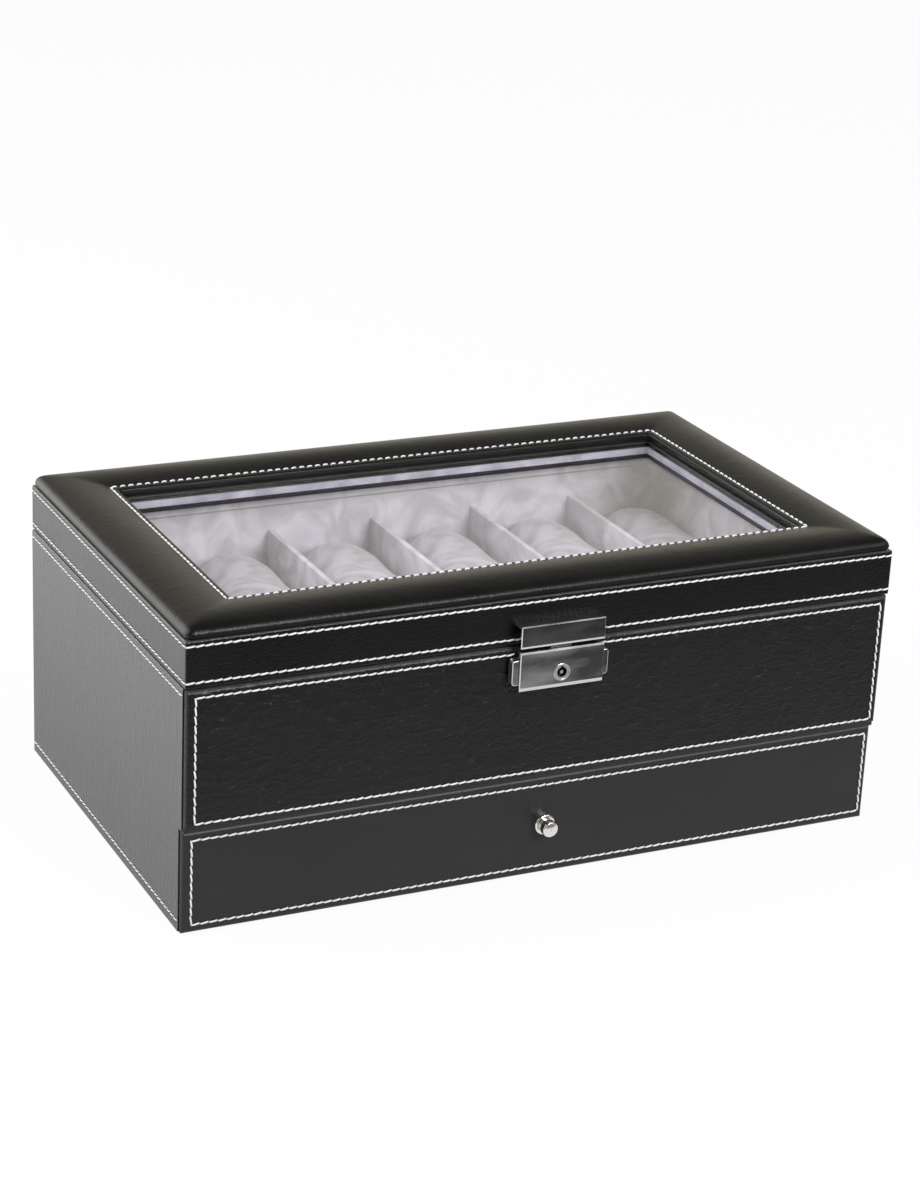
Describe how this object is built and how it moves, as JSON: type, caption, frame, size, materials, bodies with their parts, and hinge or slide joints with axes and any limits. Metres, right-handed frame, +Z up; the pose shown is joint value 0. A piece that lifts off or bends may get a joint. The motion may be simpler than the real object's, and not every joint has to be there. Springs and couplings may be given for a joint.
{
  "type": "watch box with drawer",
  "caption": "Rectangular leatherette watch box with a hinged window lid, padded frame, front lock, lined watch slots with cushions, and a full-width drawer below.",
  "frame": {"origin": "middle of the underside that the box stands on, midway between its front panel and its back", "axes": "+X to the right seen from the front, along the width; the front faces -Y; +Z up"},
  "size_m": [0.335, 0.2154, 0.1397],
  "materials": {
    "black_leatherette": "fine wrinkle grain, satin",
    "padded_leatherette": "soft, smooth, semi-gloss",
    "grey_velvet": "short pile",
    "pillow_velvet": "short pile",
    "black_felt": "matt",
    "fibreboard": "raw",
    "painted_board": "painted black",
    "window_glass": "clear",
    "black_moulding": "satin",
    "polished_nickel": "polished",
    "hinge_steel": "plated",
    "screw_steel": "plated",
    "spring_steel": "bright wire"
  },
  "bodies": {
    "root": {"base_felt": "black_felt", "base_board": "fibreboard", "left_side_board": "fibreboard", "right_side_board": "fibreboard", "back_board": "fibreboard", "upper_front_board": "fibreboard", "tray_board": "fibreboard", "case_leather": "black_leatherette", "upper_front_panel": "black_leatherette", "tray_lining": "grey_velvet", "long_divider": "grey_velvet", "cross_dividers": "grey_velvet", "lock_case": "polished_nickel", "lock_screws": "screw_steel", "latch_springs": "spring_steel", "case_hinge_screws": "screw_steel", "left_case_hinge_leaf": "hinge_steel", "right_case_hinge_leaf": "hinge_steel", "watch_pillow_front_1": "pillow_velvet", "watch_pillow_front_2": "pillow_velvet", "watch_pillow_front_3": "pillow_velvet", "watch_pillow_front_4": "pillow_velvet", "watch_pillow_front_5": "pillow_velvet", "watch_pillow_front_6": "pillow_velvet", "watch_pillow_back_1": "pillow_velvet", "watch_pillow_back_2": "pillow_velvet", "watch_pillow_back_3": "pillow_velvet", "watch_pillow_back_4": "pillow_velvet", "watch_pillow_back_5": "pillow_velvet", "watch_pillow_back_6": "pillow_velvet"},
    "lid": {"lid_front_board": "fibreboard", "lid_back_board": "fibreboard", "lid_left_board": "fibreboard", "lid_right_board": "fibreboard", "lid_top_board": "painted_board", "lid_leather": "black_leatherette", "lid_lining": "grey_velvet", "window_glass": "window_glass", "pane_frame": "fibreboard", "window_bezel": "black_moulding", "ring_board": "fibreboard", "padded_ring": "padded_leatherette", "catch_plate": "polished_nickel", "catch_screws": "screw_steel", "lid_hinge_screws": "screw_steel", "left_lid_hinge_leaf": "hinge_steel", "right_lid_hinge_leaf": "hinge_steel", "hinge_pins": "hinge_steel"},
    "drawer": {"drawer_front_panel": "black_leatherette", "drawer_front_board": "fibreboard", "drawer_left_side": "fibreboard", "drawer_right_side": "fibreboard", "drawer_back": "fibreboard", "drawer_floor": "fibreboard", "drawer_lining": "grey_velvet", "drawer_dividers": "grey_velvet", "drawer_knob": "polished_nickel", "knob_screw": "screw_steel"},
    "latch": {"latch_slider": "polished_nickel"},
    "key": {"key_cylinder": "polished_nickel"}
  },
  "joints": [
    {"name": "lid_hinge", "type": "hinge", "parent": "root", "child": "lid", "pos_m": [0, 0.1043, 0.1125], "axis": [-1, 0, 0], "range_deg": [0, 100]},
    {"name": "drawer_slide", "type": "slide", "parent": "root", "child": "drawer", "axis": [0, -1, 0], "range_m": [0, 0.14]},
    {"name": "latch_slide", "type": "slide", "parent": "root", "child": "latch", "axis": [0, 0, -1], "range_m": [0, 0.0035], "stiffness_N_per_m": 400, "springref_m": -0.003, "deforming": ["latch_springs"]},
    {"name": "key_turn", "type": "hinge", "parent": "root", "child": "key", "pos_m": [0, -0.107, 0.1006], "axis": [0, 1, 0], "range_deg": [0, 90]}
  ]
}
